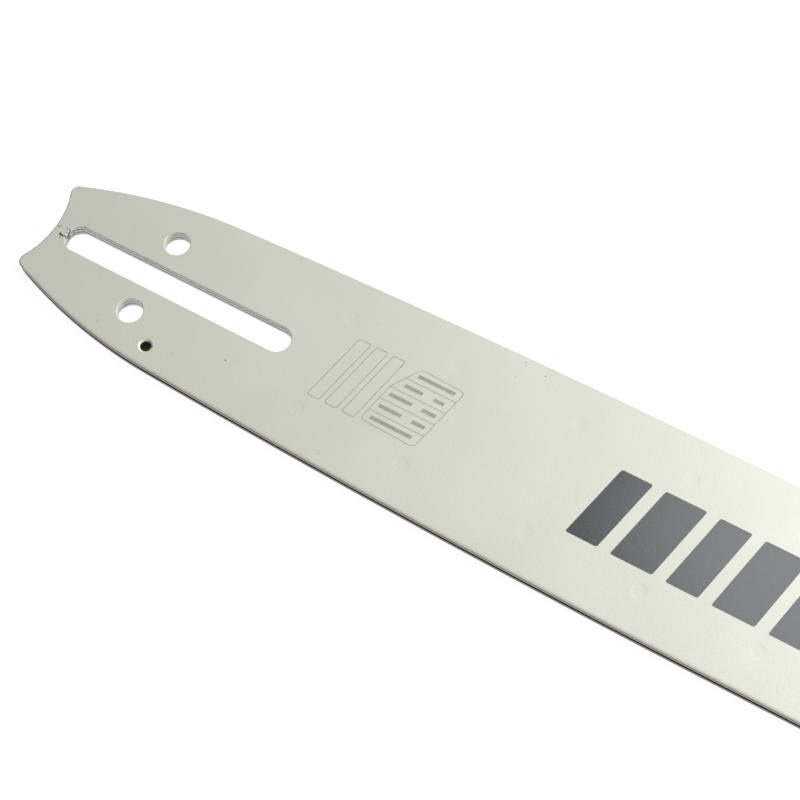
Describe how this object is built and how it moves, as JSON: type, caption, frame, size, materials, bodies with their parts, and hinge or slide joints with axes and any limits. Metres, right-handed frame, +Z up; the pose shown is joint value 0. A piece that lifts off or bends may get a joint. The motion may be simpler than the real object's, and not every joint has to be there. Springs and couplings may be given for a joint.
{
  "type": "chainsaw guide bar",
  "caption": "Laminated chainsaw guide bar with a stud slot, adjuster holes and a chain groove along both edges, and a sprocket nose on a roller bearing.",
  "frame": {"origin": "centre of the round tail-side end of the stud slot, on the lower face of the bar", "axes": "+X along the bar from the tail to the nose, +Y across the bar, +Z up through its thickness; the bar lies flat on its lower face at Z = 0"},
  "size_m": [0.5414, 0.0662, 0.0047],
  "materials": {
    "painted_plate": "satin off-white enamel on steel sheet",
    "core_steel": "bare pressed steel, dull",
    "sprocket_steel": "hardened steel, ground faces",
    "race_steel": "hardened steel, oiled",
    "rivet_steel": "ground flush",
    "roller_steel": "ground and polished"
  },
  "bodies": {
    "bar": {"side_plate_top": "painted_plate", "core_plate": "core_steel", "side_plate_bottom": "painted_plate", "bearing_race": "race_steel", "nose_rivet_1": "rivet_steel", "nose_rivet_2": "rivet_steel", "nose_rivet_3": "rivet_steel", "nose_rivet_4": "rivet_steel", "nose_rivet_5": "rivet_steel", "nose_rivet_6": "rivet_steel"},
    "sprocket": {"nose_sprocket": "sprocket_steel"},
    "roller_ring": {"bearing_roller_01": "roller_steel", "bearing_roller_02": "roller_steel", "bearing_roller_03": "roller_steel", "bearing_roller_04": "roller_steel", "bearing_roller_05": "roller_steel", "bearing_roller_06": "roller_steel", "bearing_roller_07": "roller_steel", "bearing_roller_08": "roller_steel", "bearing_roller_09": "roller_steel", "bearing_roller_10": "roller_steel", "bearing_roller_11": "roller_steel", "bearing_roller_12": "roller_steel", "bearing_roller_13": "roller_steel", "bearing_roller_14": "roller_steel", "bearing_roller_15": "roller_steel", "bearing_roller_16": "roller_steel", "bearing_roller_17": "roller_steel", "bearing_roller_18": "roller_steel", "bearing_roller_19": "roller_steel", "bearing_roller_20": "roller_steel", "bearing_roller_21": "roller_steel", "bearing_roller_22": "roller_steel", "bearing_roller_23": "roller_steel", "bearing_roller_24": "roller_steel", "bearing_roller_25": "roller_steel", "bearing_roller_26": "roller_steel", "bearing_roller_27": "roller_steel", "bearing_roller_28": "roller_steel", "bearing_roller_29": "roller_steel", "bearing_roller_30": "roller_steel", "bearing_roller_31": "roller_steel"}
  },
  "joints": [
    {"name": "sprocket_spin", "type": "hinge", "parent": "bar", "child": "sprocket", "pos_m": [0.49944, 0, 0.00235], "axis": [0, 0, 1], "continuous": true},
    {"name": "roller_ring_spin", "type": "hinge", "parent": "bar", "child": "roller_ring", "pos_m": [0.49944, 0, 0.00235], "axis": [0, 0, 1], "continuous": true}
  ],
  "couplings": [
    {"joint": "roller_ring_spin", "follows": "sprocket_spin", "ratio": 0.54948}
  ]
}
